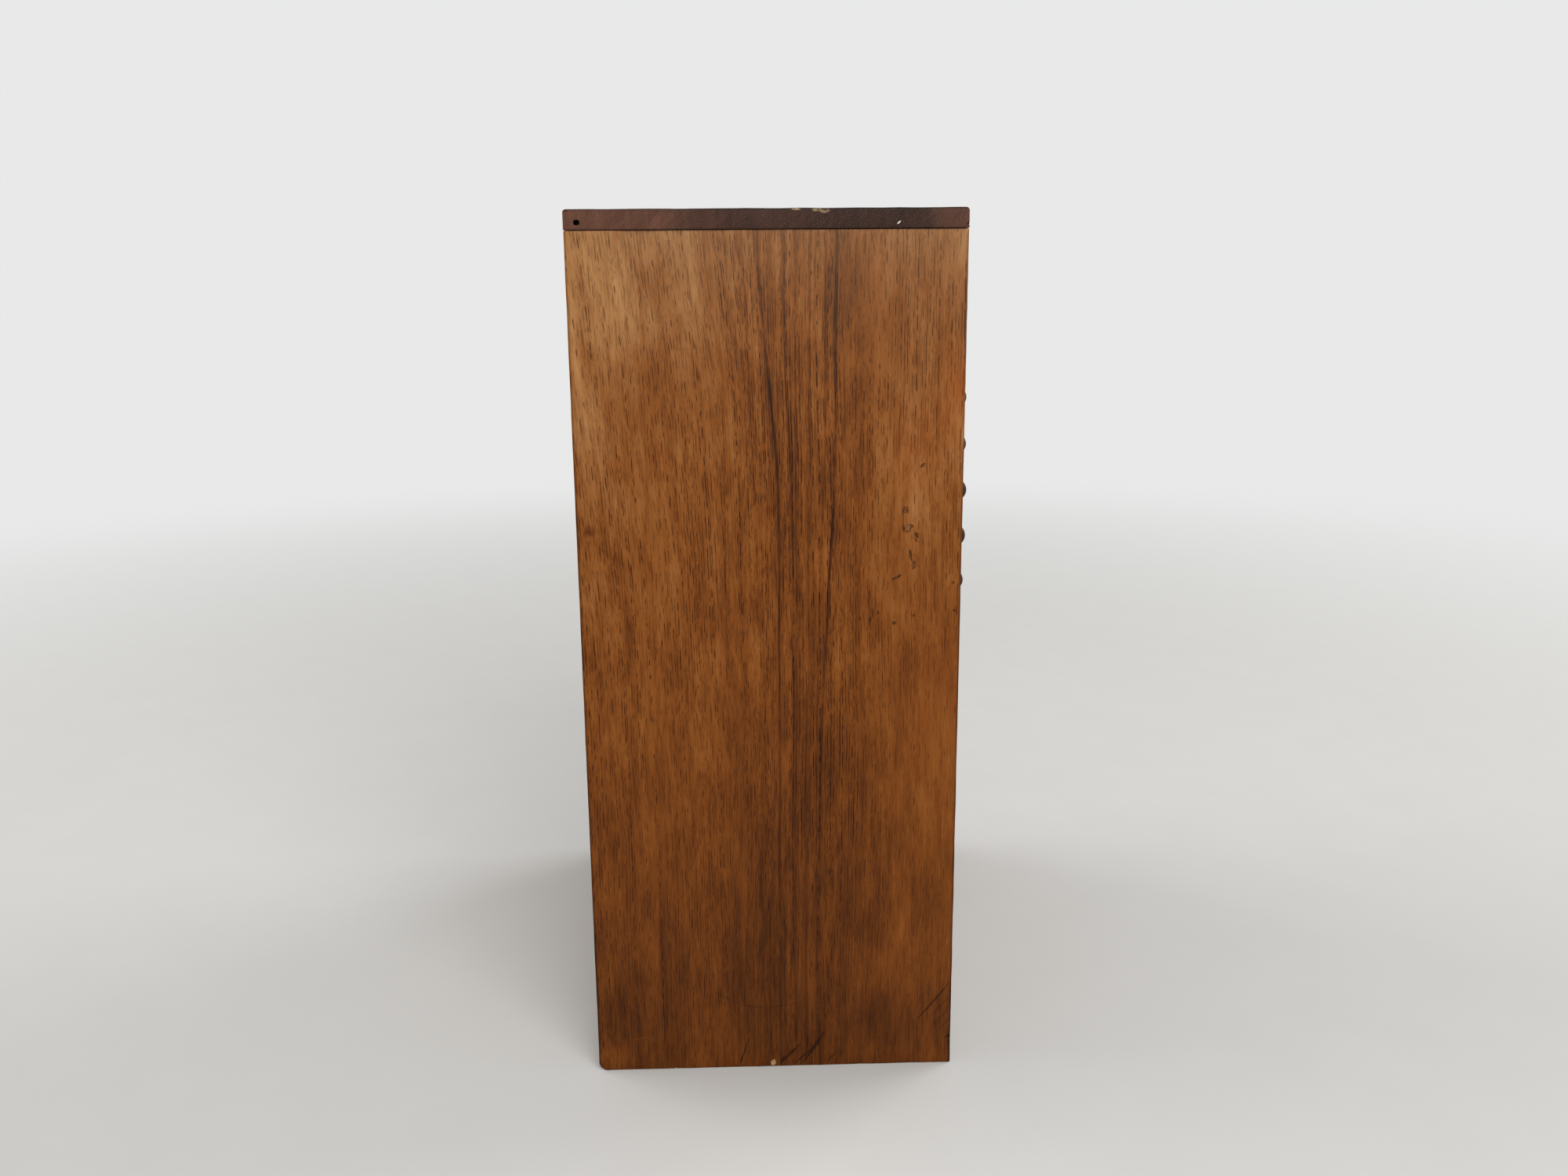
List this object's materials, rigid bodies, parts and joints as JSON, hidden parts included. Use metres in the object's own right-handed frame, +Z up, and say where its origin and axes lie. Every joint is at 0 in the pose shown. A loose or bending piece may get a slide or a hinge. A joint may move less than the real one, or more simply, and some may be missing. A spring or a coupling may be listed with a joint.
{
  "type": "watchmaker drawer chest",
  "caption": "Tall narrow table-top wooden chest with a wide top drawer, columns of shallow knobbed parts drawers and deeper drawers below, all sliding out at the front.",
  "frame": {"origin": "on the floor, under the middle of the whole chest's box, knobs included", "axes": "+Z up, the drawers face -Y and open along -Y, +X to the right as seen from the front"},
  "size_m": [0.3, 0.2096, 0.46],
  "materials": {
    "case_wood": "worn thin shellac over open-pored wood",
    "top_wood": "darkened and worn, end grain showing",
    "front_wood": "worn thin shellac over open-pored wood",
    "shelf_wood": "bare planed wood, darkened at the front edge",
    "back_wood": "bare thin board",
    "box_wood": "bare planed wood",
    "floor_wood": "bare thin board",
    "knob_wood": "dark stained, polished by hands"
  },
  "bodies": {
    "case": {"left_side": "case_wood", "right_side": "case_wood", "top_board": "top_wood", "bottom_board": "shelf_wood", "back_panel": "back_wood", "centre_divider": "shelf_wood", "shelf_1": "shelf_wood", "shelf_2": "shelf_wood", "shelf_3": "shelf_wood", "shelf_4": "shelf_wood"},
    "top_drawer": {"top_drawer_front": "front_wood", "top_drawer_frame": "box_wood", "top_drawer_floor": "floor_wood", "top_drawer_knob": "knob_wood"},
    "left_parts_drawer_1": {"left_parts_drawer_1_front": "front_wood", "left_parts_drawer_1_tray": "box_wood", "left_parts_drawer_1_knob": "knob_wood"},
    "right_parts_drawer_1": {"right_parts_drawer_1_front": "front_wood", "right_parts_drawer_1_tray": "box_wood", "right_parts_drawer_1_knob": "knob_wood"},
    "left_parts_drawer_2": {"left_parts_drawer_2_front": "front_wood", "left_parts_drawer_2_tray": "box_wood", "left_parts_drawer_2_knob": "knob_wood"},
    "right_parts_drawer_2": {"right_parts_drawer_2_front": "front_wood", "right_parts_drawer_2_tray": "box_wood", "right_parts_drawer_2_knob": "knob_wood"},
    "left_parts_drawer_3": {"left_parts_drawer_3_front": "front_wood", "left_parts_drawer_3_tray": "box_wood", "left_parts_drawer_3_knob": "knob_wood"},
    "right_parts_drawer_3": {"right_parts_drawer_3_front": "front_wood", "right_parts_drawer_3_tray": "box_wood", "right_parts_drawer_3_knob": "knob_wood"},
    "left_parts_drawer_4": {"left_parts_drawer_4_front": "front_wood", "left_parts_drawer_4_tray": "box_wood", "left_parts_drawer_4_knob": "knob_wood"},
    "right_parts_drawer_4": {"right_parts_drawer_4_front": "front_wood", "right_parts_drawer_4_tray": "box_wood", "right_parts_drawer_4_knob": "knob_wood"},
    "left_parts_drawer_5": {"left_parts_drawer_5_front": "front_wood", "left_parts_drawer_5_tray": "box_wood", "left_parts_drawer_5_knob": "knob_wood"},
    "right_parts_drawer_5": {"right_parts_drawer_5_front": "front_wood", "right_parts_drawer_5_tray": "box_wood", "right_parts_drawer_5_knob": "knob_wood"},
    "deep_drawer_1": {"deep_drawer_1_front": "front_wood", "deep_drawer_1_frame": "box_wood", "deep_drawer_1_floor": "floor_wood", "deep_drawer_1_knob": "knob_wood"},
    "deep_drawer_2": {"deep_drawer_2_front": "front_wood", "deep_drawer_2_frame": "box_wood", "deep_drawer_2_floor": "floor_wood", "deep_drawer_2_knob": "knob_wood"},
    "deep_drawer_3": {"deep_drawer_3_front": "front_wood", "deep_drawer_3_frame": "box_wood", "deep_drawer_3_floor": "floor_wood", "deep_drawer_3_knob": "knob_wood"}
  },
  "joints": [
    {"name": "top_drawer_slide", "type": "slide", "parent": "case", "child": "top_drawer", "axis": [0, -1, 0], "range_m": [0, 0.14]},
    {"name": "left_parts_drawer_1_slide", "type": "slide", "parent": "case", "child": "left_parts_drawer_1", "axis": [0, -1, 0], "range_m": [0, 0.14]},
    {"name": "right_parts_drawer_1_slide", "type": "slide", "parent": "case", "child": "right_parts_drawer_1", "axis": [0, -1, 0], "range_m": [0, 0.14]},
    {"name": "left_parts_drawer_2_slide", "type": "slide", "parent": "case", "child": "left_parts_drawer_2", "axis": [0, -1, 0], "range_m": [0, 0.14]},
    {"name": "right_parts_drawer_2_slide", "type": "slide", "parent": "case", "child": "right_parts_drawer_2", "axis": [0, -1, 0], "range_m": [0, 0.14]},
    {"name": "left_parts_drawer_3_slide", "type": "slide", "parent": "case", "child": "left_parts_drawer_3", "axis": [0, -1, 0], "range_m": [0, 0.14]},
    {"name": "right_parts_drawer_3_slide", "type": "slide", "parent": "case", "child": "right_parts_drawer_3", "axis": [0, -1, 0], "range_m": [0, 0.14]},
    {"name": "left_parts_drawer_4_slide", "type": "slide", "parent": "case", "child": "left_parts_drawer_4", "axis": [0, -1, 0], "range_m": [0, 0.14]},
    {"name": "right_parts_drawer_4_slide", "type": "slide", "parent": "case", "child": "right_parts_drawer_4", "axis": [0, -1, 0], "range_m": [0, 0.14]},
    {"name": "left_parts_drawer_5_slide", "type": "slide", "parent": "case", "child": "left_parts_drawer_5", "axis": [0, -1, 0], "range_m": [0, 0.14]},
    {"name": "right_parts_drawer_5_slide", "type": "slide", "parent": "case", "child": "right_parts_drawer_5", "axis": [0, -1, 0], "range_m": [0, 0.14]},
    {"name": "deep_drawer_1_slide", "type": "slide", "parent": "case", "child": "deep_drawer_1", "axis": [0, -1, 0], "range_m": [0, 0.14]},
    {"name": "deep_drawer_2_slide", "type": "slide", "parent": "case", "child": "deep_drawer_2", "axis": [0, -1, 0], "range_m": [0, 0.14]},
    {"name": "deep_drawer_3_slide", "type": "slide", "parent": "case", "child": "deep_drawer_3", "axis": [0, -1, 0], "range_m": [0, 0.14]}
  ]
}
